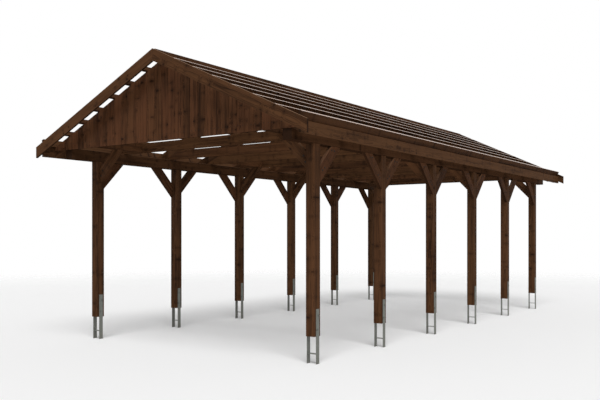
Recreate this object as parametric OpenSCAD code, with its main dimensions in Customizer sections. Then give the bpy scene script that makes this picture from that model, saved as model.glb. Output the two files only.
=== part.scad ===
// Open timber carport with a gabled roof frame: twelve posts on steel ground anchors,
// two eaves beams, eleven trusses, tiling battens, boarded gables, bargeboards and fascias.
// X runs across the gable, Y runs back from the front gable, Z is up from the anchor feet.

/* [Posts] */
// Side of the square posts
post_w = 115; // [90:5:160]
// Number of posts in each row
posts_per_row = 6; // [2:1:6]
// Spacing of the posts along a row, centre to centre
bay = 1515; // [1200:5:1600]
// Spacing of the two rows, centre to centre
row_gap = 3515; // [3000:5:4000]
// Height of the underside of the eaves beams above the anchor feet
beam_underside = 2400; // [2200:10:2800]
// Width of the planed-off corners of posts and eaves beams
arris = 4; // [1:1:8]

/* [Ground anchors] */
// Height of the two flat bars of an anchor
anchor_h = 600; // [500:10:800]
// Height of the post foot above the anchor feet
post_foot = 300; // [200:10:400]
// Width of the flat bars
bar_w = 60; // [40:5:80]
// Thickness of the flat bars and of the cross web
bar_t = 5; // [4:1:8]
// Height of the cross web above the anchor feet
web_z = 107; // [60:1:180]

/* [Beams and trusses] */
// Height of the eaves beams
beam_h = 140; // [100:5:200]
// Number of trusses along the roof
trusses = 11; // [6:1:12]
// Spacing of the last two trusses, which is what the even spacing of the others leaves over
last_truss_step = 349; // [250:1:600]
// Distance of the gable trusses from the centre of the end posts
gable_reach = 455; // [250:5:480]
// Thickness of the rafters and tie beams
truss_t = 60; // [40:5:80]
// Depth of the rafters, square to the slope
rafter_h = 120; // [100:5:180]
// Level length of the rafters' birdsmouth on the eaves beams
rafter_seat = 40; // [20:5:80]
// Height of the tie beams
tie_h = 126; // [100:2:180]

/* [Roof] */
// Overhang from the outer face of the posts to the ends of the bargeboards
eaves_out = 335; // [200:5:500]
// Pitch of the roof in degrees
pitch = 24.85; // [20:0.05:30]
// Overhang from the centre of the end posts to the face of the bargeboards
verge = 700; // [620:5:800]

/* [Battens] */
// Width of the tiling battens along the slope
batten_w = 36; // [24:1:60]
// Thickness of the tiling battens
batten_h = 56; // [24:1:60]
// Distance of the highest batten's middle from the ridge, measured level
first_batten = 314; // [250:1:340]
// Distance of the lowest batten's middle from the fascia's face, measured level
last_batten = 318; // [280:1:400]
// Number of battens on each slope, without the ridge and eaves battens
battens = 6; // [4:1:8]
// Distance of the raised eaves batten's middle from the fascia's face, measured level
eaves_batten = 25; // [20:1:60]
// Height of the eaves batten above the other battens
eaves_raise = 45; // [0:1:60]

/* [Braces] */
// Length of a brace's reach down the post and along the beam
brace_leg = 418; // [300:2:500]
// Width of a brace across its length
brace_w = 130; // [70:5:150]
// Thickness of a brace
brace_t = 40; // [30:5:110]
// Posts, counted from the front, that carry a brace across the carport
cross_braced = [1, 3, 4, 6];
// Distance of the lower corner of those braces below the eaves beams
cross_drop = 284; // [200:2:300]

/* [Boards] */
// Width of the bargeboards
barge_w = 128; // [100:5:200]
// Thickness of the bargeboards and fascias
barge_t = 28; // [18:1:40]
// Height of the fascias
fascia_h = 130; // [90:5:160]
// Height of the fascias' top edge above the rafters
fascia_up = 20; // [0:1:22]
// Distance of the fascias' faces inside the ends of the bargeboards
fascia_in = 90; // [40:5:120]
// Thickness of the gable boarding
boarding_t = 20; // [15:1:28]
// Reach of the boarding below the gable tie beam
boarding_drop = 22; // [0:1:60]

/* [Hidden] */

stain = "SaddleBrown";
zinc = "Silver";
half = post_w/2;
row_x = row_gap/2;
half_y = (posts_per_row - 1)*bay/2;
beam_top = beam_underside + beam_h;
rise = tan(pitch);
batten_drop = batten_h/cos(pitch);
rafter_drop = rafter_h/cos(pitch);
outer = row_x + half;
ridge_top = beam_top + (outer - rafter_seat)*rise + rafter_drop + batten_drop;
gable_y = half_y + gable_reach;
gable_face = gable_y + truss_t/2;
truss_step = (2*gable_y - last_truss_step)/(trusses - 2);
board_back = half_y + verge - barge_t;
roof_end = outer + eaves_out;
fascia_x = roof_end - fascia_in;
tail = fascia_x - barge_t;
brace_cut = brace_w*sqrt(2);
cross_foot = beam_underside - cross_drop;

// Heights over the level distance x from the ridge: bargeboard tops, rafter tops, rafter undersides
function roof_z(x) = ridge_top - x*rise;
function rafter_top(x) = roof_z(x) - batten_drop;
function rafter_low(x) = rafter_top(x) - rafter_drop;
// Level distance from the ridge where the rafters' underside is at height z
function rafter_at(z) = (rafter_low(0) - z)/rise;
function post_y(i) = (i - 1)*bay - half_y;
function truss_y(k) = k < trusses ? (k - 1)*truss_step - gable_y : gable_y;
// Number of the last truss in front of post i
function truss_before(i) = min(floor((post_y(i) + gable_y)/truss_step) + 1, trusses - 1);

fascia_top = rafter_top(fascia_x) + fascia_up;
fascia_low = fascia_top - fascia_h;

// Plate of thickness t with its middle at y, from an outline drawn in X and Z
module plate(y, t) {
    translate([0, y + t/2, 0])
        rotate([90, 0, 0])
            linear_extrude(t)
                children();
}

// Square timber section with planed-off corners
module timber(w, h) {
    polygon([[arris - w/2, 0], [w/2 - arris, 0], [w/2, arris], [w/2, h - arris],
             [w/2 - arris, h], [arris - w/2, h], [-w/2, h - arris], [-w/2, arris]]);
}

module left() {
    mirror([1, 0, 0])
        children();
}

module rear() {
    mirror([0, 1, 0])
        children();
}

module post(i) {
    color(stain)
        translate([row_x, post_y(i) - half, post_foot])
            linear_extrude(beam_underside - post_foot)
                timber(post_w, post_w);
}

// Ground anchor: two flat bars on the sides of the post, joined by a web below its foot
module anchors() {
    color(zinc)
        for (i = [1:posts_per_row]) {
            for (s = [-1, 1])
                translate([row_x + s*(half + bar_t/2) - bar_t/2, post_y(i) - bar_w/2, 0])
                    cube([bar_t, bar_w, anchor_h]);
            translate([row_x - half, post_y(i) - bar_w/2, web_z])
                cube([post_w, bar_w, bar_t]);
        }
}

module eaves_beam() {
    color(stain)
        translate([row_x, 0, beam_underside])
            plate(0, 2*gable_face)
                timber(post_w, beam_h);
}

// Knee brace on the side d of post i, flush with the row's outer face
module knee(i, d) {
    translate([row_x + half - brace_t, post_y(i) + d*half, beam_underside])
        rotate([90, 0, 90])
            linear_extrude(brace_t)
                polygon([[0, -brace_leg], [d*brace_leg, 0], [d*(brace_leg - brace_cut), 0],
                         [0, brace_cut - brace_leg]]);
}

module braces() {
    color(stain)
        for (i = [1:posts_per_row]) {
            if (i > 1)
                knee(i, -1);
            if (i < posts_per_row)
                knee(i, 1);
        }
}

// Brace across the carport, from the middle of the post's inner side up to the trimmer between two tie beams
module cross_brace(i) {
    x = row_x - half;
    plate(post_y(i), brace_t)
        polygon([[x, cross_foot], [x, cross_foot + brace_cut],
                 [x - (beam_top - cross_foot - brace_cut), beam_top], [x - (beam_top - cross_foot), beam_top]]);
}

module cross_braces() {
    color(stain)
        for (i = cross_braced) {
            cross_brace(i);
            left()
                cross_brace(i);
        }
}

module trimmer(i) {
    k = truss_before(i);
    middle = row_x - half - (beam_top - cross_foot - brace_cut/2);
    translate([middle - truss_t/2, truss_y(k) + truss_t/2, beam_top])
        cube([truss_t, truss_y(k + 1) - truss_y(k) - truss_t, tie_h]);
}

module brace_trimmers() {
    color(stain)
        for (i = cross_braced) {
            trimmer(i);
            left()
                trimmer(i);
        }
}

// Tie beam on the eaves beams, its ends cut to the slope of the rafters' undersides
module tie_beams() {
    low = rafter_at(beam_top);
    top = rafter_at(beam_top + tie_h);
    color(stain)
        for (k = [1:trusses])
            plate(truss_y(k), truss_t)
                polygon([[-low, beam_top], [low, beam_top], [top, beam_top + tie_h], [-top, beam_top + tie_h]]);
}

// Rafter with a plumb cut at the ridge, a birdsmouth on the eaves beam and a plumb tail with a level trim
module rafters() {
    color(stain)
        for (k = [1:trusses])
            plate(truss_y(k), truss_t)
                polygon([[0, rafter_low(0)], [rafter_at(beam_top), beam_top], [outer, beam_top],
                         [outer, rafter_low(outer)], [rafter_at(fascia_low), fascia_low],
                         [tail, fascia_low], [tail, rafter_top(tail)], [0, rafter_top(0)]]);
}

module batten(x, h) {
    translate([x, 0, roof_z(x)])
        rotate([0, pitch, 0])
            translate([-batten_w/2, -board_back, -batten_h])
                cube([batten_w, 2*board_back, h]);
}

module tiling_battens() {
    step = (fascia_x - last_batten - first_batten)/(battens - 1);
    color(stain) {
        for (b = [0:battens - 1])
            batten(first_batten + b*step, batten_h);
        batten(fascia_x - eaves_batten, batten_h + eaves_raise);
    }
}

// Batten on the crown of the rafters, its underside cut to both slopes
module ridge_batten() {
    w = batten_w/2;
    color(stain)
        plate(0, 2*board_back)
            polygon([[-w, rafter_top(w)], [0, rafter_top(0)], [w, rafter_top(w)], [w, ridge_top], [-w, ridge_top]]);
}

module gable_boarding() {
    low = beam_top - boarding_drop;
    color(stain)
        plate(-gable_face - boarding_t/2, boarding_t)
            polygon([[-tail, low], [tail, low], [tail, rafter_top(tail)], [0, rafter_top(0)],
                     [-tail, rafter_top(tail)]]);
}

module bargeboard() {
    drop = barge_w/cos(pitch);
    color(stain)
        plate(-board_back - barge_t/2, barge_t)
            polygon([[0, ridge_top - drop], [roof_end, roof_z(roof_end) - drop], [roof_end, roof_z(roof_end)],
                     [0, ridge_top]]);
}

module fascia() {
    color(stain)
        translate([tail, -board_back, fascia_low])
            cube([barge_t, 2*board_back, fascia_h]);
}

module post_left_1() { left() post(1); }
module post_left_2() { left() post(2); }
module post_left_3() { left() post(3); }
module post_left_4() { left() post(4); }
module post_left_5() { left() post(5); }
module post_left_6() { left() post(6); }
module anchors_left() { left() anchors(); }
module eaves_beam_left() { left() eaves_beam(); }
module braces_left() { left() braces(); }
module rafters_left() { left() rafters(); }
module battens_left() { left() tiling_battens(); }
module gable_boarding_rear() { rear() gable_boarding(); }
module bargeboard_front_left() { left() bargeboard(); }
module bargeboard_rear_left() { rear() left() bargeboard(); }
module bargeboard_rear_right() { rear() bargeboard(); }
module fascia_left() { left() fascia(); }

post_left_1();
post_left_2();
post_left_3();
post_left_4();
post_left_5();
post_left_6();
post(1);  // post_right_1
post(2);  // post_right_2
post(3);  // post_right_3
post(4);  // post_right_4
post(5);  // post_right_5
post(6);  // post_right_6
anchors_left();
anchors();  // anchors_right
eaves_beam_left();
eaves_beam();  // eaves_beam_right
braces_left();
braces();  // braces_right
cross_braces();
brace_trimmers();
tie_beams();
rafters_left();
rafters();  // rafters_right
battens_left();
tiling_battens();  // battens_right
ridge_batten();
gable_boarding();  // gable_boarding_front
gable_boarding_rear();
bargeboard_front_left();
bargeboard();  // bargeboard_front_right
bargeboard_rear_left();
bargeboard_rear_right();
fascia_left();
fascia();  // fascia_right
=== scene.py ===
import bpy
import math
import numpy as np
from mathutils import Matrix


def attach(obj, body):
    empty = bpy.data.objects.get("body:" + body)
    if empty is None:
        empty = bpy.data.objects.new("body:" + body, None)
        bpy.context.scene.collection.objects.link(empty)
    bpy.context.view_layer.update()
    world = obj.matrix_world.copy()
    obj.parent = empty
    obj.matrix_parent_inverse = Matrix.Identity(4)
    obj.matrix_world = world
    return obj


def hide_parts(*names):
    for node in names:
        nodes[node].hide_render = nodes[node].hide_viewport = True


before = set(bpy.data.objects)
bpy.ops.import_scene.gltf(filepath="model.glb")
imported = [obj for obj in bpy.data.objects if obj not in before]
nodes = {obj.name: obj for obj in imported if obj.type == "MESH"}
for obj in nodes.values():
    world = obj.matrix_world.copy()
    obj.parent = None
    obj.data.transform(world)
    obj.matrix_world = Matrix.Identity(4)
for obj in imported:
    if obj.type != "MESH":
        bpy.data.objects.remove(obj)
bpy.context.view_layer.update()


# Camera: level, 35 degrees to the ridge, standing in front of the right-hand row as in the photo.
# Its focal length and the shift of its middle were solved from the corners of posts, beams and boards.
PHOTO_W, PHOTO_H = 600, 400
FOCAL_PX = 754.02
MIDDLE_PX = (295.63, 235.63)
SENSOR_MM = 36
EYE = (6.331, -10.6505, 1.399)
TURN = 35
lens = bpy.data.cameras.new("camera")
lens.sensor_width = SENSOR_MM
lens.lens = FOCAL_PX / PHOTO_W * SENSOR_MM
lens.shift_x = (PHOTO_W / 2 - MIDDLE_PX[0]) / PHOTO_W
lens.shift_y = (MIDDLE_PX[1] - PHOTO_H / 2) / PHOTO_W
camera = bpy.data.objects.new("camera", lens)
bpy.context.scene.collection.objects.link(camera)
camera.location = EYE
camera.rotation_euler = (math.radians(90), 0, math.radians(TURN))
bpy.context.scene.camera = camera
bpy.context.scene.view_settings.view_transform = "Standard"


# Floor and light: a plain pale floor that fades into the white background far from the posts, an even sky,
# a broad soft panel high in front, and a soft sun that gives the timbers their light and dark sides.
# A Field is one shader socket, and arithmetic on Fields adds the nodes that work it out.
class Field:
    def __init__(self, tree, socket):
        self.tree = tree
        self.socket = socket

    def math(self, kind, *others):
        return node(self.tree, "ShaderNodeMath", {"operation": kind}, self, *others)

    def __add__(self, other):
        return self.math("ADD", other)

    __radd__ = __add__

    def __sub__(self, other):
        return self.math("SUBTRACT", other)

    def __rsub__(self, other):
        return (self * -1) + other

    def __mul__(self, other):
        return self.math("MULTIPLY", other)

    __rmul__ = __mul__

    def __truediv__(self, other):
        return self.math("DIVIDE", other)

    def __abs__(self):
        return self.math("ABSOLUTE")

    def least(self, other):
        return self.math("MINIMUM", other)

    def most(self, other):
        return self.math("MAXIMUM", other)

    def step(self, low, high):
        """Smooth step: 0 up to low, 1 from high on, with a soft S between them."""
        settings = {"interpolation_type": "SMOOTHSTEP"}
        return node(self.tree, "ShaderNodeMapRange", settings, self, low, high, 0.0, 1.0)

    def always(self, value):
        """The same value everywhere, as a Field."""
        return self * 0 + value


def feed(socket, value):
    """Link the socket to a Field, or set it to a constant; None leaves it as it is."""
    if isinstance(value, Field):
        value.tree.links.new(value.socket, socket)
    elif value is not None:
        socket.default_value = value


def node(tree, kind, settings, *values, named=None, out=0):
    """New node with its settings, and its sockets' values in order or by name; one output as a Field."""
    made = tree.nodes.new(kind)
    for name, setting in settings.items():
        setattr(made, name, setting)
    for place, value in [*enumerate(values), *(named or {}).items()]:
        feed(made.inputs[place], value)
    return Field(tree, made.outputs[out])


def parts(field):
    """The three numbers of a vector or colour Field."""
    first = node(field.tree, "ShaderNodeSeparateXYZ", {}, field)
    return [Field(field.tree, socket) for socket in first.socket.node.outputs]


def material(name):
    made = bpy.data.materials.new(name)
    made.use_nodes = True
    return made, made.node_tree, made.node_tree.nodes["Principled BSDF"]


def light(name, kind, settings, place, turn):
    """Light of one kind with its settings, standing at place and turned by three angles."""
    data = bpy.data.lights.new(name, kind)
    for setting, value in settings.items():
        setattr(data, setting, value)
    lamp = bpy.data.objects.new(name, data)
    bpy.context.scene.collection.objects.link(lamp)
    lamp.location = place
    lamp.rotation_euler = turn


FLOOR_R = 26.0
FADE = (9.0, 20.0)
floor_corners = [(x * FLOOR_R, y * FLOOR_R, 0) for x, y in ((-1, -1), (1, -1), (1, 1), (-1, 1))]
floor_mesh = bpy.data.meshes.new("floor")
floor_mesh.from_pydata(floor_corners, [], [(0, 1, 2, 3)])
floor = bpy.data.objects.new("floor", floor_mesh)
bpy.context.scene.collection.objects.link(floor)
pale, tree, shader = material("pale_floor")
feed(shader.inputs["Base Color"], (0.93, 0.93, 0.93, 1))
feed(shader.inputs["Roughness"], 0.9)
x, y = parts(node(tree, "ShaderNodeTexCoord", {}, out="Object"))[:2]
reach = (x * x + y * y).math("SQRT")
clear = node(tree, "ShaderNodeBsdfTransparent", {})
blend = node(tree, "ShaderNodeMixShader", {}, reach.step(*FADE), Field(tree, shader.outputs[0]), clear)
feed(tree.nodes["Material Output"].inputs["Surface"], blend)
floor_mesh.materials.append(pale)

SKY_LEVEL = 0.35
world = bpy.data.worlds.new("studio")
bpy.context.scene.world = world
world.use_nodes = True
sky = world.node_tree
seen = node(sky, "ShaderNodeLightPath", {}, out="Is Camera Ray")
for ray in ("Is Glossy Ray", "Is Transmission Ray"):
    seen = seen.most(node(sky, "ShaderNodeLightPath", {}, out=ray))
feed(sky.nodes["Background"].inputs["Color"], (1, 1, 1, 1))
feed(sky.nodes["Background"].inputs["Strength"], seen * (1.0 - SKY_LEVEL) + SKY_LEVEL)

PANEL_AT, PANEL_AIM = (7.0, -11.0, 9.0), (0.0, 0.0, 1.5)
back = [a - b for a, b in zip(PANEL_AT, PANEL_AIM)]
panel_turn = (0, math.atan2(math.hypot(back[0], back[1]), back[2]), math.atan2(back[1], back[0]))
light("high_front_panel", "AREA", {"energy": 90, "size": 8.0}, PANEL_AT, panel_turn)
sun_turn = (math.radians(28), math.radians(24), 0)
light("soft_sun", "SUN", {"energy": 2.3, "angle": math.radians(36)}, (0, 0, 0), sun_turn)


# Stained timber: planed spruce with a dark brown stain, made as a solid texture round the pith of a log.
# Each piece is cut from another place of the log, so growth rings, knots, drying checks and tone differ.
# The seeds only say which place that is, and each section's LOG keeps its pieces apart from the others'.
def linear(*shades):
    """Red, green and blue written as 0 to 255 in sRGB, as the linear colour that a shader takes."""
    curve = [c / 255 / 12.92 if c <= 10 else ((c / 255 + 0.055) / 1.055) ** 2.4 for c in shades]
    return (*curve, 1)


def mixed(amount, first, second):
    """Colour between first and second, by the Field amount from 0 to 1, on the Mix node's colour sockets."""
    sockets = {0: amount, MIX_FIRST: first, MIX_SECOND: second}
    return node(amount.tree, "ShaderNodeMix", {"data_type": "RGBA"}, named=sockets, out=MIX_OUT)


def vector(tree, x, y, z):
    return node(tree, "ShaderNodeCombineXYZ", {}, x, y, z)


def noise(at, detail, rough, scale=1.0, out=0):
    """Cloudy noise at a vector: detail is the number of finer layers, and rough is how strong they are."""
    return node(at.tree, "ShaderNodeTexNoise", {}, at, None, scale, detail, rough, out=out)


MIX_FIRST, MIX_SECOND, MIX_OUT = 6, 7, 2
RED_BROWN = linear(90, 57, 38)
PALE_LINE = linear(86, 59, 38)
DARK_LINE_AND_SHADE = linear(40, 25, 16)
KNOT = linear(34, 20, 12)
END_GRAIN_AND_SHADE = linear(30, 19, 13)
PAINTED_TOP_LIGHT = linear(176, 143, 116)
EDGE_HIGHLIGHT_AND_WEAR = linear(112, 80, 56)
OPEN_JOINT = linear(16, 11, 8)
RING = 0.0052
KNOT_CELL, KNOT_RADIUS = 0.13, 0.06
KNOT_SMALL, KNOT_GROWTH, KNOT_HALO = 0.001, 0.025, 0.02
FAR = 0.2


def timber(name, place, section, red=0.0, seam=None, shade=1.0, sheen=0.0, knots=0.55, below=0.45):
    """Material for pieces whose length, width and thickness place() gives from x, y and z.

    Rings are circles round a pith that wanders along the piece, knots run out from it and push the
    rings aside, and checks are thin dark cracks along the grain. Half sizes of the section place the
    corners, which get painted highlight and wear, and FAR is for a side without them. The distance to a
    joint between two lengths of timber comes from seam(). Red is how much of the stain is red brown.
    Sheltered pieces get painted shade: the lower shade is, the more of it, and below is how much painted
    shade undersides take. Upper faces get painted light; sheen is the gloss of their coat and how much
    more painted light they take, and knots is the share of the cells round the pith that hold a knot.
    """
    made, tree, shader = material(name)
    x, y, z = parts(node(tree, "ShaderNodeTexCoord", {}, out="Object"))
    along, wide, thick, seed, grain = place(x, y, z)
    luck = parts(node(tree, "ShaderNodeTexWhiteNoise", {"noise_dimensions": "1D"}, None, seed + 0.37,
                      out="Color"))
    shift = seed * 1.37

    # Distances from the pith, and the knots as cells over the length and the angle round it
    sway = parts(noise(vector(tree, along * 0.8, shift, 0.0), 2.0, 0.5, out="Color"))
    low = wide - (luck[0] - 0.5) * 0.13 - (sway[0] - 0.5) * 0.05
    deep = thick - 0.03 - luck[1] * 0.07 - (sway[1] - 0.5) * 0.05
    turn = deep.math("ARCTAN2", low) * (KNOT_RADIUS / KNOT_CELL)
    cell = vector(tree, along / KNOT_CELL, turn + shift, 0.0)
    flat = {"voronoi_dimensions": "2D"}
    near, chance = [node(tree, "ShaderNodeTexVoronoi", flat, cell, None, 1.0, out=out)
                    for out in ("Distance", "Color")]
    near = near * KNOT_CELL
    size = (parts(chance)[0] - (1.0 - knots)).most(0.0) * KNOT_GROWTH + KNOT_SMALL
    knot = 1.0 - (near / size).step(0.6, 1.2)
    spread = near / (size + KNOT_HALO)
    halo = (spread * spread * -1.0).math("EXPONENT")

    # Growth rings with their dark late wood, fibres, cloudy patches and drying checks
    fine = noise(vector(tree, along * 3.0, wide * 40.0 + shift, thick * 40.0), 3.0, 0.6)
    radius = (low * low + deep * deep).math("SQRT") + halo * 0.016 + (fine - 0.5) * 0.0035
    phase = (radius / RING).math("FRACT")
    late = phase.step(0.35, 0.9) * (1.0 - phase.step(0.92, 1.0))
    fibre = noise(vector(tree, along * 9.0, wide * 420.0, thick * 420.0 + shift), 2.0, 0.6)
    patch = noise(vector(tree, along * 1.3, wide * 22.0, thick * 22.0 + shift), 3.0, 0.55)
    crack = noise(vector(tree, along * 1.1 + shift, wide * 26.0, thick * 26.0), 2.0, 0.5)
    check = (1.0 - abs(crack - 0.5).step(0.001, 0.005)) * patch.step(0.52, 0.62)

    # Where the surface is sawn end grain, an underside or an upper face
    normal = node(tree, "ShaderNodeNewGeometry", {}, out="Normal")
    across = node(tree, "ShaderNodeVectorMath", {"operation": "DOT_PRODUCT"}, normal, vector(tree, *grain),
                  out="Value")
    cut = abs(across).step(0.55, 0.68)
    up = parts(normal)[2]
    under = (0.0 - up).step(0.2, 0.9)
    # Upward faces: they get painted light in the colour and a glossier coat
    top_light = up.step(0.6, 0.95)

    # Colour: rings and patches, then end grain, painted shade, painted top light, knots, checks, and painted
    # edge highlight with wear
    tone = late * 0.32 + fibre * 0.9 + patch * 1.5 + luck[2] * 0.4 - 1.1 + halo * 0.25
    warm = (luck[0] * 0.4 + red).least(1.0)
    colour = mixed(tone.step(0.0, 1.0), mixed(warm, PALE_LINE, RED_BROWN), DARK_LINE_AND_SHADE)
    # Sawn ends: a dark colour that is partly end grain holding more stain and partly painted shade
    colour = mixed(cut * 0.7, colour, END_GRAIN_AND_SHADE)
    # Painted shade: undersides and sheltered pieces are mixed towards dark brown for the shade that falls on
    # them
    colour = mixed((under * below + (1.0 - shade)).least(0.85), colour, DARK_LINE_AND_SHADE)
    # Painted light: upper faces are mixed towards a pale colour for the light that falls on them from above
    colour = mixed(top_light * (0.4 + fine * 0.3 + sheen * 0.3).least(1.0), colour, PAINTED_TOP_LIGHT)
    colour = mixed(knot * 0.8, colour, KNOT)
    colour = mixed(check * 0.7, colour, KNOT)
    # Painted highlight, partly wear: a narrow band along the corners is mixed towards paler brown for the
    # light that corners catch
    edge = (section[0] - abs(wide)).most(section[1] - abs(thick)) + (fine - 0.5) * 0.004
    edge_light_and_wear = (1.0 - edge.step(0.0004, 0.0032)) * (1.0 - cut)
    colour = mixed(edge_light_and_wear * 0.3, colour, EDGE_HIGHLIGHT_AND_WEAR)
    height = fibre * 0.25 - late * 0.35 - check * 1.6 + knot * 0.3
    if seam:
        gap = 1.0 - seam(x, y, z).step(0.0006, 0.0018)
        colour = mixed(gap * 0.9, colour, OPEN_JOINT)
        height = height - gap * 2.0

    # Gloss comes from the coat alone, so that undersides keep no haze
    bump = {"Strength": 0.5, "Distance": 0.0006, "Height": height}
    for socket, value in (("Base Color", colour),
                          ("Roughness", 0.62 + fibre * 0.12 + late * 0.06 + cut * 0.1),
                          ("Coat Weight", ((1.0 - under) * 0.05 + top_light * sheen).least(1.0)),
                          ("Coat Roughness", 0.25),
                          ("Coat Tint", (1.0, 0.9, 0.83, 1)),
                          ("Specular IOR Level", 0.0),
                          ("Normal", node(tree, "ShaderNodeBump", {}, named=bump))):
        feed(shader.inputs[socket], value)
    return made


def dress(name, look):
    """Give the CAD node its material."""
    data = nodes[name].data
    data.materials.clear()
    data.materials.append(look)


def stain(name, place, section, **finish):
    """Give the CAD node a timber material of its own."""
    dress(name, timber(f"timber_{name}", place, section, **finish))


# Posts: 115 mm square solid timbers that stand in the ground anchors and are bolted to them.
# The grain runs up each post, the corners are planed off, and every post is another piece of timber.
POST_HALF = 0.0575
ROW_X = 1.7575
POSTS = 6
BAY = 1.515
HALF_Y = BAY * (POSTS - 1) / 2
POST_LOG = 40.0
UPRIGHT = (0.0, 0.0, 1.0)
SIDES = ((-1, "left"), (1, "right"))
post_ys = [i * BAY - HALF_Y for i in range(POSTS)]
for s, side in SIDES:
    for i, post_y in enumerate(post_ys):
        def place(x, y, z):
            return z, x - s * ROW_X, y - post_y, z.always(i * 2.3 + s * 11.0 + POST_LOG), UPRIGHT

        stain(f"post_{side}_{i + 1}", place, (POST_HALF, POST_HALF))


# Eaves beams: two lengths of 115 x 140 mm timber on each row, lying on the posts' tops.
# They are halved together over a middle post, and the halving shows on the sides as a stepped joint line.
BEAM_LOW, BEAM_H = 2.4, 0.14
BEAM_MIDDLE = BEAM_LOW + BEAM_H / 2
LAP = 0.06
BEAM_LOG = 71.0
ALONG_ROW = (0.0, 1.0, 0.0)


def past(distance):
    """0 before a joint or a middle line and 1 past it, from the distance in metres."""
    return distance.step(-0.001, 0.001)


for s, side in SIDES:
    joint = -s * BAY / 2

    def place(x, y, z):
        return y, x - s * ROW_X, z - BEAM_MIDDLE, past(y - joint) * 5.1 + (s * 3.0 + BEAM_LOG), ALONG_ROW

    def seam(x, y, z):
        """Distance to the joint: upright at one end of the lap above, at the other below, level between."""
        middle = z - BEAM_MIDDLE
        upper = middle.step(-0.0005, 0.0005)
        upright = abs(y - joint + LAP * 2 * (upper - 0.5))
        return upright.least(abs(middle) + (abs(y - joint) - LAP).most(0.0) * 10.0)

    # The beams take painted shade for the shadow under the eaves
    stain(f"eaves_beam_{side}", place, (POST_HALF, BEAM_H / 2), seam=seam, shade=0.55)


# Knee braces along the rows and braces across the carport: 40 x 130 mm boards screwed on at 45 degrees.
# A brace's grain follows it, so length and width are the two diagonals of height and distance from the post.
BRACE_T, BRACE_W = 0.04, 0.13
BRACE_HALVES = (BRACE_W / 2, BRACE_T / 2)
KNEE_LEG = 0.418
CROSS_DROP = 0.284
KNEE_LOG, CROSS_LOG = 131.0, 150.0
DIAGONAL = math.sqrt(0.5)


def nearest_post(y):
    """Number of the nearest post in its row, from 0 at the front, and the distance from its middle."""
    number = ((y + HALF_Y) / BAY).math("ROUND")
    return number, y - (number * BAY - HALF_Y)


for s, side in SIDES:
    def place(x, y, z):
        number, off = nearest_post(y)
        hand = past(off) * 2.0 - 1.0
        length = (abs(off) + z) * DIAGONAL
        width = (z - abs(off) - (BEAM_LOW - KNEE_LEG - POST_HALF)) * DIAGONAL - BRACE_W / 2
        thick = x - s * (ROW_X + POST_HALF - BRACE_T / 2)
        seed = number * 3.1 + hand * 0.9 + (KNEE_LOG + s * 5.0)
        return length, width, thick, seed, (0.0, hand * DIAGONAL, DIAGONAL)

    # The braces' undersides take more painted shade
    stain(f"braces_{side}", place, BRACE_HALVES, red=0.4, below=0.85)


def place_cross(x, y, z):
    """As along the rows, with the diagonals of height and distance from the middle of the carport."""
    number, thick = nearest_post(y)
    hand = past(x) * 2.0 - 1.0
    width = (z + abs(x) - (BEAM_LOW - CROSS_DROP + ROW_X - POST_HALF)) * DIAGONAL - BRACE_W / 2
    seed = number * 2.7 + hand * 1.3 + CROSS_LOG
    return (z - abs(x)) * DIAGONAL, width, thick, seed, (hand * -DIAGONAL, 0.0, DIAGONAL)


stain("cross_braces", place_cross, BRACE_HALVES)


# Trusses: eleven pairs of 60 x 120 mm rafters on 60 x 126 mm tie beams, and the trimmers between two ties.
# They are set out from the front gable, so a short field is left at the rear. The rafters sit on the eaves
# beams with a birdsmouth, and their grain follows the slope.
PITCH = math.radians(24.85)
BEAM_TOP = BEAM_LOW + BEAM_H
RIDGE_TOP = 3.556
TIE_H, TRUSS_T = 0.126, 0.06
TIE_MIDDLE = BEAM_TOP + TIE_H / 2
RAFTER_H = 0.12
BATTEN_H, BATTEN_W = 0.056, 0.036
TRUSSES = 11
LAST_STEP = 0.349
GABLE_Y = HALF_Y + 0.455
TRUSS_STEP = (2 * GABLE_Y - LAST_STEP) / (TRUSSES - 2)
TRIMMER_X = 1.368
TIE_LOG, TRIMMER_LOG, RAFTER_LOG = 180.0, 210.0, 240.0
truss_ys = [k * TRUSS_STEP - GABLE_Y for k in range(TRUSSES - 1)] + [GABLE_Y]


def down_slope(x, z):
    """Distance down the slope from the ridge line, and depth below the roof plane."""
    run = abs(x) * math.cos(PITCH) - (z - RIDGE_TOP) * math.sin(PITCH)
    depth = (RIDGE_TOP - z) * math.cos(PITCH) - abs(x) * math.sin(PITCH)
    return run, depth


def grain_down(s):
    """Direction of the grain down the slope on side s."""
    return s * math.cos(PITCH), 0.0, -math.sin(PITCH)


def nearest_truss(y):
    """Number of the nearest truss, from 0 at the front, and the distance from its middle."""
    half_way = GABLE_Y - LAST_STEP / 2
    last = y.step(half_way, half_way + 0.01)
    number = ((y + GABLE_Y) / TRUSS_STEP).math("ROUND") + last
    return number, y - (number * TRUSS_STEP - GABLE_Y - last * (TRUSS_STEP - LAST_STEP))


def place_tie(x, y, z):
    """Length across the carport, width upwards and thickness from the truss's middle."""
    number, off = nearest_truss(y)
    return x, z - TIE_MIDDLE, off, number * 2.9 + TIE_LOG, (1.0, 0.0, 0.0)


def place_trimmer(x, y, z):
    """Length along the row, width upwards, and another piece of timber in each field on each side."""
    field = nearest_truss(y + TRUSS_STEP / 2)[0]
    seed = field * 2.1 + past(x) * 1.7 + TRIMMER_LOG
    return y, z - TIE_MIDDLE, abs(x) - TRIMMER_X, seed, ALONG_ROW


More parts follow.
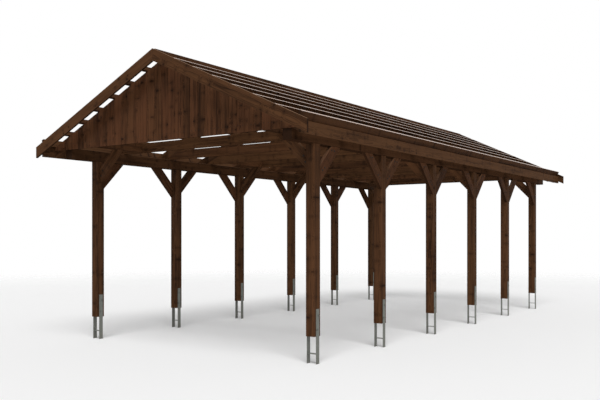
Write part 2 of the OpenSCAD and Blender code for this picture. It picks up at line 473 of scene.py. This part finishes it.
# Tie beams take a little painted shade for the shade inside the roof
stain("tie_beams", place_tie, (TIE_H / 2, TRUSS_T / 2), shade=0.85)
stain("brace_trimmers", place_trimmer, (TIE_H / 2, FAR))
for s, side in SIDES:
    def place(x, y, z):
        number, off = nearest_truss(y)
        run, depth = down_slope(x, z)
        seed = number * 3.3 + (RAFTER_LOG + s * 7.0)
        return run, depth - BATTEN_H - RAFTER_H / 2, off, seed, grain_down(s)

    # Rafters take a little painted shade for the shade inside the roof
    stain(f"rafters_{side}", place, (RAFTER_H / 2, TRUSS_T / 2), shade=0.85)


# Tiling battens: 36 x 56 mm softwood on edge, screwed to the rafters. Each is in two lengths that meet on a
# rafter, at another one from row to row. The tops take more painted light and gloss, the undersides more
# painted shade, the eaves batten is taller, and the ridge batten sits on the crown.
FIRST_BATTEN, BATTEN_STEP = 0.314, 0.2856
RIDGE_MIDDLE = 3.52
BATTEN_LOG, RIDGE_LOG = 300.0, 390.0
# Battens' tops take more painted light and their undersides more painted shade
LIT_TOPS_SHADED_UNDERSIDES = {"sheen": 0.9, "below": 0.8}


def nearest_batten(x, z):
    """Distance down the slope, depth, and the number of the nearest batten, from 0 next to the ridge."""
    run, depth = down_slope(x, z)
    number = ((run * math.cos(PITCH) - FIRST_BATTEN) / BATTEN_STEP).math("ROUND")
    return run, depth, number


for s, side in SIDES:
    def meet(number):
        """Where the two lengths of a batten meet: truss 4, 5, 6 or 7 in turn."""
        turn = (number * 5.0 + (8.0 + s)).math("MODULO", 4.0) + 3.0
        return turn * TRUSS_STEP - GABLE_Y

    def place(x, y, z):
        run, depth, number = nearest_batten(x, z)
        width = run - (number * BATTEN_STEP + FIRST_BATTEN) / math.cos(PITCH)
        seed = number * 4.3 + past(y - meet(number)) * 1.9 + (BATTEN_LOG + s * 40.0)
        return y, width, depth - BATTEN_H / 2, seed, ALONG_ROW

    def seam(x, y, z):
        return abs(y - meet(nearest_batten(x, z)[2]))

    stain(f"battens_{side}", place, (BATTEN_W / 2, FAR), seam=seam, **LIT_TOPS_SHADED_UNDERSIDES)

ridge_joint = truss_ys[5]


def place_ridge(x, y, z):
    """Length along the ridge, in two lengths of timber that meet on a truss."""
    return y, x, z - RIDGE_MIDDLE, past(y - ridge_joint) * 2.0 + RIDGE_LOG, ALONG_ROW


stain("ridge_batten", place_ridge, (BATTEN_W / 2, FAR), seam=lambda x, y, z: abs(y - ridge_joint), **LIT_TOPS_SHADED_UNDERSIDES)


# Bargeboards and fascias: 28 mm planed boards, screwed to the battens' ends and the rafters' tails.
# The bargeboards are cut plumb at the ridge and square at the eaves. The fascias are in two lengths that
# meet on a rafter's tail.
BARGE_W, PLANED_T = 0.128, 0.028
VERGE_Y = HALF_Y + 0.7
FASCIA_X, FASCIA_MIDDLE, FASCIA_H = 2.06, 2.4953, 0.13
BARGE_LOG, FASCIA_LOG = 430.0, 450.0
ENDS = ((-1, "front"), (1, "rear"))
for e, end in ENDS:
    for s, side in SIDES:
        def place(x, y, z):
            run, depth = down_slope(x, z)
            seed = x.always(BARGE_LOG + s * 3.0 + e * 1.0)
            return run, depth - BARGE_W / 2, y - e * (VERGE_Y - PLANED_T / 2), seed, grain_down(s)

        # The bargeboards' undersides take more painted shade
        stain(f"bargeboard_{end}_{side}", place, (BARGE_W / 2, PLANED_T / 2), below=0.85)

for s, side in SIDES:
    joint = truss_ys[4 if s > 0 else 5]

    def place(x, y, z):
        seed = past(y - joint) * 1.7 + (FASCIA_LOG + s * 4.0)
        return y, z - FASCIA_MIDDLE, abs(x) - (FASCIA_X - PLANED_T / 2), seed, ALONG_ROW

    stain(f"fascia_{side}", place, (FASCIA_H / 2, PLANED_T / 2), seam=lambda x, y, z: abs(y - joint))


# Gable boarding: upright tongue-and-groove boards of 115 mm cover, 20 mm thick, screwed to the gable truss.
# Each board is a solid of its own with a V joint at its edges, cut to the slope at the top.
COVER = 0.115
BOARD_T = 0.02
VEE = 0.005
TAIL = 2.032
BOARD_LOW = BEAM_TOP - 0.022
BOARD_FACE = GABLE_Y + TRUSS_T / 2
BOARDS = math.ceil((TAIL - COVER / 2) / COVER)
BOARD_LOG = 520.0


def stacked(points, rings):
    """Faces of a closed solid made of rings of points: a wall from each ring to the next, and both ends."""
    ring = np.arange(points)
    after = np.roll(ring, -1)
    wall = np.stack([ring, after, after + points, ring + points], 1)
    walls = np.concatenate([wall + k * points for k in range(rings - 1)])
    return [*walls, ring[::-1], ring + (rings - 1) * points]


def joined(name, solids, look, body="root"):
    """One piece at the origin from solids with their corners and faces, riding on the body."""
    faces, base = [], 0
    for corners, polygons in solids:
        faces += [(base + polygon).tolist() for polygon in polygons]
        base += len(corners)
    mesh = bpy.data.meshes.new(name)
    mesh.from_pydata(np.concatenate([corners for corners, polygons in solids]).tolist(), [], faces)
    mesh.materials.append(look)
    mesh.update()
    piece = bpy.data.objects.new(name, mesh)
    bpy.context.scene.collection.objects.link(piece)
    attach(piece, body)
    return piece


def board_top(x):
    """Height of the boards' top at x: the ridge, less the battens and the fall of the slope over x."""
    return RIDGE_TOP - BATTEN_H / math.cos(PITCH) - abs(x) * math.tan(PITCH)


def board(k, e):
    """Board k from the middle: its outline in plan, drawn up from the level bottom to the sloping top.

    The board under the ridge has one more point there on each face, since its top slopes both ways.
    The rear gable mirrors the outline, so its points are taken in the other order.
    """
    low, high = max(-TAIL, (k - 0.5) * COVER), min(TAIL, (k + 0.5) * COVER)
    back, front = BOARD_FACE, BOARD_FACE + BOARD_T
    crown = [0.0] if low < 0 < high else []
    plan = [(low, back), (low, front - VEE), (low + VEE, front), *[(x, front) for x in crown],
            (high - VEE, front), (high, front - VEE), (high, back), *[(x, back) for x in crown]]
    x, y = np.array(plan[::-1] if e > 0 else plan).T
    rings = [np.stack([x, e * y, z], 1) for z in (np.full(len(plan), BOARD_LOW), board_top(x))]
    return np.concatenate(rings), stacked(len(plan), 2)


for e, end in ENDS:
    def place(x, y, z):
        number = (x / COVER).math("ROUND")
        seed = number * 1.9 + (BOARD_LOG + e * 60.0)
        return z, x - number * COVER, y - e * (BOARD_FACE + BOARD_T / 2), seed, UPRIGHT

    look = timber(f"timber_boarding_{end}", place, (COVER / 2, BOARD_T / 2), red=0.55, knots=0.7)
    piece = joined(f"boards_gable_{end}", [board(k, e) for k in range(-BOARDS, BOARDS + 1)], look)
    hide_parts(f"gable_boarding_{end}")


# Ground anchors: hot-dip galvanised flat bars and webs, welded, dull grey with a faint spangle.
# Streaks run down the bars, and a darker stain lies near the ground.
def zinc(name, dark=1.0):
    """Zinc with its flakes, clouds and streaks; dark scales its colour."""
    made, tree, shader = material(name)
    point = node(tree, "ShaderNodeTexCoord", {}, out="Object")
    x, y, z = parts(point)
    flake = parts(node(tree, "ShaderNodeTexVoronoi", {}, point, None, 140.0, out="Color"))[0]
    cloud = noise(vector(tree, x * 30.0, y * 30.0, z * 9.0), 4.0, 0.6)
    streak = noise(vector(tree, x * 160.0, y * 160.0, z * 5.0), 2.0, 0.5)
    dull_grey = linear(96 * dark, 98 * dark, 92 * dark)
    pale_grey = linear(126 * dark, 128 * dark, 121 * dark)
    colour = mixed(flake * 0.6 + cloud * 0.4, dull_grey, pale_grey)
    colour = mixed(streak.step(0.55, 0.75) * 0.5, colour, linear(84, 84, 79))
    colour = mixed((1.0 - z.step(0.01, 0.12)) * cloud.step(0.35, 0.65) * 0.4, colour, linear(92, 86, 78))
    feed(shader.inputs["Base Color"], colour)
    feed(shader.inputs["Metallic"], 0.35)
    feed(shader.inputs["Roughness"], 0.48 + flake * 0.12 + cloud * 0.1)
    return made


galvanised = zinc("galvanised_bar")
for s, side in SIDES:
    dress(f"anchors_{side}", galvanised)


# Fixings: galvanised hexagon bolts with washers hold the posts in their anchors, and blackened screws hold
# the rest, with washer heads in the braces and countersunk heads in the boards.
# Each head is a turned solid that stands on its surface.
def turned(profile, points):
    """Solid of revolution: the profile's radius and height carried round a full turn, both ends closed."""
    radius, height = np.array(profile).T
    angle = np.arange(points) * (2 * math.pi / points)
    axes = ((radius, np.cos(angle)), (radius, np.sin(angle)), (height, np.ones(points)))
    corners = np.stack([np.outer(along, around) for along, around in axes], 2)
    return corners.reshape(-1, 3), stacked(points, len(profile))


def stamped(name, heads, spots, look):
    """One piece with the heads at every spot, which is a point and the direction that they look in."""
    solids = []
    for point, out in spots:
        side = np.cross(out, UPRIGHT)
        axes = np.stack([side, np.cross(out, side), out])
        solids += [(corners @ axes + np.array(point), faces) for corners, faces in heads]
    return joined(name, solids, look)


washer = turned([(0.012, 0.0), (0.012, 0.002), (0.0055, 0.0021)], 20)
hexagon = turned([(0.0098, 0.002), (0.0098, 0.008), (0.0088, 0.0088)], 6)
washer_head = turned([(0.011, 0.0), (0.0112, 0.0012), (0.0095, 0.0026), (0.0045, 0.0034), (0.004, 0.0012)],
                     16)
countersunk = turned([(0.0046, 0.0), (0.0046, 0.0004), (0.0022, 0.0004), (0.0018, -0.0015)], 12)

BAR_T = 0.005
ANCHOR_BOLTS = ((-0.014, 0.375), (0.014, 0.53))
anchor_zinc = zinc("zinc_fixing", 0.9)
for s, side in SIDES:
    spots = [((s * ROW_X + out * (POST_HALF + BAR_T), y + dy, z), (out, 0, 0))
             for y in post_ys for out in (-1, 1) for dy, z in ANCHOR_BOLTS]
    stamped(f"anchor_bolts_{side}", [washer, hexagon], spots, anchor_zinc)

blackened, tree, shader = material("blackened_fixing")
grime = noise(node(tree, "ShaderNodeTexCoord", {}, out="Object"), 2.0, 0.5, scale=300.0)
feed(shader.inputs["Base Color"], mixed(grime, linear(28, 22, 18), linear(48, 38, 30)))
feed(shader.inputs["Metallic"], 0.2)
feed(shader.inputs["Specular IOR Level"], 0.2)
feed(shader.inputs["Roughness"], grime * 0.3 + 0.5)

# Screws of a brace, as distances from the post's face and heights
KNEE_SCREWS = ((0.045, 2.12), (0.09, 2.15), (0.235, 2.355), (0.29, 2.35))
CROSS_SCREWS = ((0.03, 2.21), (0.055, 2.28))
CROSS_POSTS = (0, 2, 3, 5)
knee_spots, cross_spots = [], []
for s in (-1, 1):
    for i, y in enumerate(post_ys):
        ways = [d for d in (-1, 1) if 0 <= i + d < POSTS]
        knee_spots += [((s * (ROW_X + POST_HALF), y + d * (POST_HALF + away), z), (s, 0, 0))
                       for d in ways for away, z in KNEE_SCREWS]
    cross_spots += [((s * (ROW_X - POST_HALF - away), post_ys[i] - BRACE_T / 2, z), (0, -1, 0))
                    for i in CROSS_POSTS for away, z in CROSS_SCREWS]
stamped("brace_screws", [washer_head], knee_spots + cross_spots, blackened)

# Two screws abreast at the bottom of each gable board, and two at the top where it is long enough
SCREW_ASIDE, SCREW_IN, SHORT_BOARD = 0.03, 0.075, 0.26
board_spots = []
for e in (-1, 1):
    for k in range(1 - BOARDS, BOARDS):
        top = board_top(k * COVER)
        heights = [BOARD_LOW + SCREW_IN] + ([top - SCREW_IN] if top - BOARD_LOW > SHORT_BOARD else [])
        board_spots += [((k * COVER + dx, e * (BOARD_FACE + BOARD_T), z), (0, e, 0))
                        for dx in (-SCREW_ASIDE, SCREW_ASIDE) for z in heights]
stamped("board_screws", [countersunk], board_spots, blackened)

# Two screws through the bargeboard into each batten below the ridge
BATTENS = 6
EAVES_BATTEN_X = 2.035
UPHILL, SCREW_DOWN, PAIR_HALF = 0.02, 0.03, 0.008
batten_xs = [FIRST_BATTEN + BATTEN_STEP * b for b in range(BATTENS)] + [EAVES_BATTEN_X]
barge_spots = []
for e in (-1, 1):
    for s in (-1, 1):
        for batten_x in batten_xs:
            for d in (-PAIR_HALF, PAIR_HALF):
                x = batten_x - UPHILL + d
                z = RIDGE_TOP - x * math.tan(PITCH) - SCREW_DOWN - d
                barge_spots.append(((s * x, e * VERGE_Y, z), (0, e, 0)))
stamped("bargeboard_screws", [countersunk], barge_spots, blackened)

# Two screws through the fascia into each rafter's tail, one above the other
FASCIA_SCREWS = (2.45, 2.53)
fascia_spots = [((s * FASCIA_X, y, z), (s, 0, 0)) for s in (-1, 1) for y in truss_ys for z in FASCIA_SCREWS]
stamped("fascia_screws", [countersunk], fascia_spots, blackened)
